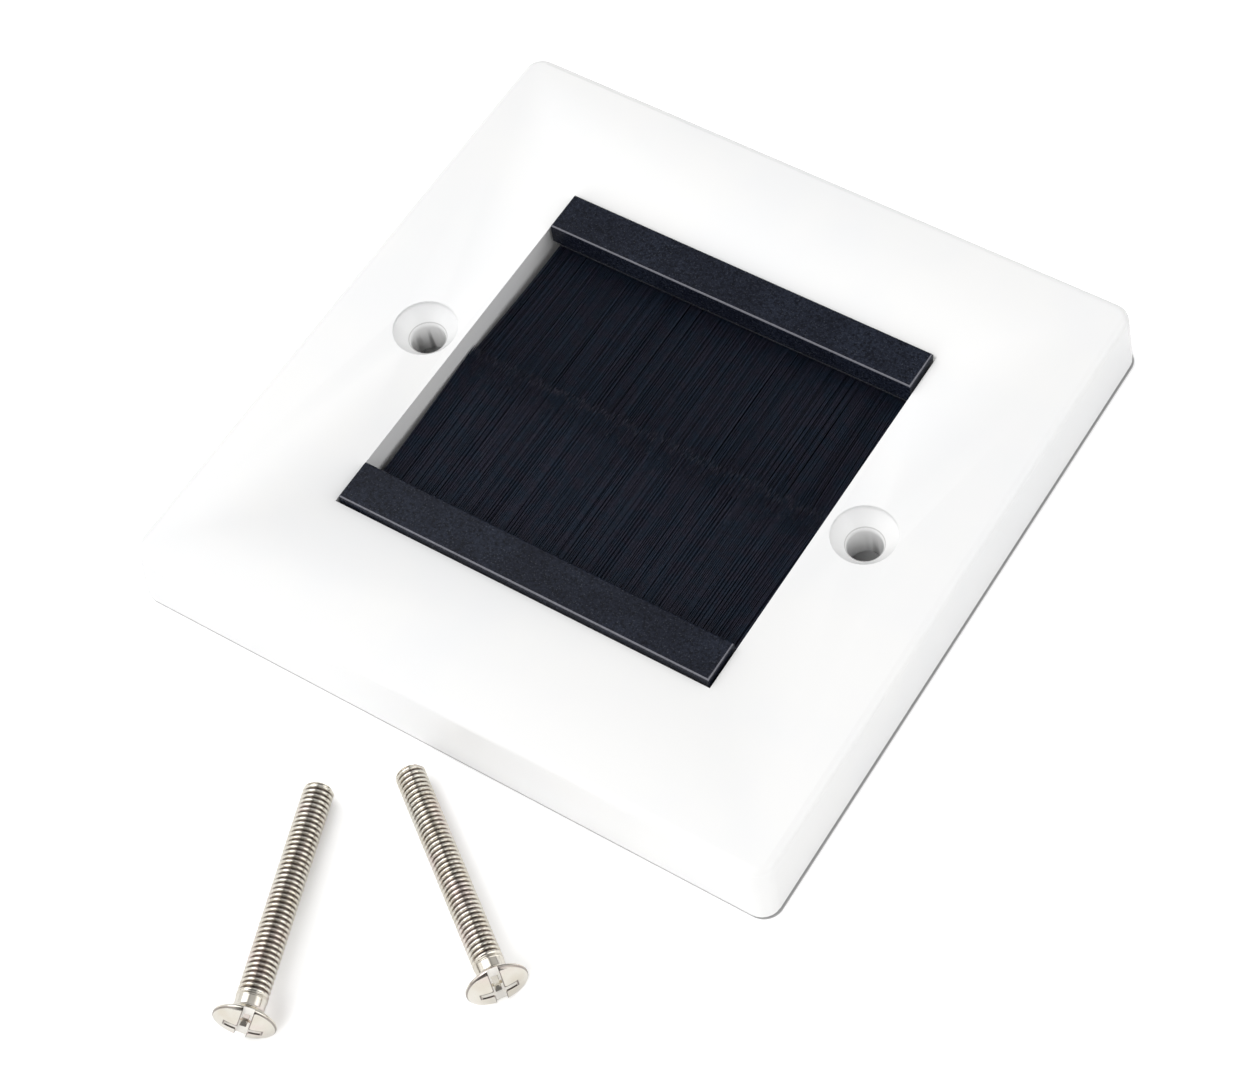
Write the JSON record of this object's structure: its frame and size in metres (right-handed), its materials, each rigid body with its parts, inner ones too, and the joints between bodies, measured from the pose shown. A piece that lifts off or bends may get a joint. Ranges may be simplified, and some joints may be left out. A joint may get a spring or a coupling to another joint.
{
  "type": "brush wall plate",
  "caption": "Square white wall plate whose opening is closed by black brush strips, with its fixing screws lying beside it.",
  "frame": {"origin": "centre of the whole object's footprint, on the plane of the plate's back rim; the plate's own centre lies 19.72 mm from it along +Y, because the two screws lie in front of the plate", "axes": "+Z out of the wall, from the back rim to the face; X along the line through the two screw holes; +Y from the lying screws to the plate"},
  "size_m": [0.086, 0.1254, 0.0102],
  "materials": {
    "plate_white": "glossy white moulding",
    "bar_black": "fine matt grain",
    "bristle_black": "nylon filaments with a soft sheen",
    "channel_steel": "zinc plated sheet",
    "wire_steel": "drawn wire",
    "screw_nickel": "warm nickel plate"
  },
  "bodies": {
    "root": {"faceplate": "plate_white", "brush_bar_back": "bar_black", "brush_bar_front": "bar_black", "strip_channel_back": "channel_steel", "strip_channel_front": "channel_steel", "core_wire_back": "wire_steel", "core_wire_front": "wire_steel", "bristles_back": "bristle_black", "bristles_front": "bristle_black", "fixing_screw_left": "screw_nickel", "fixing_screw_right": "screw_nickel"}
  },
  "joints": []
}
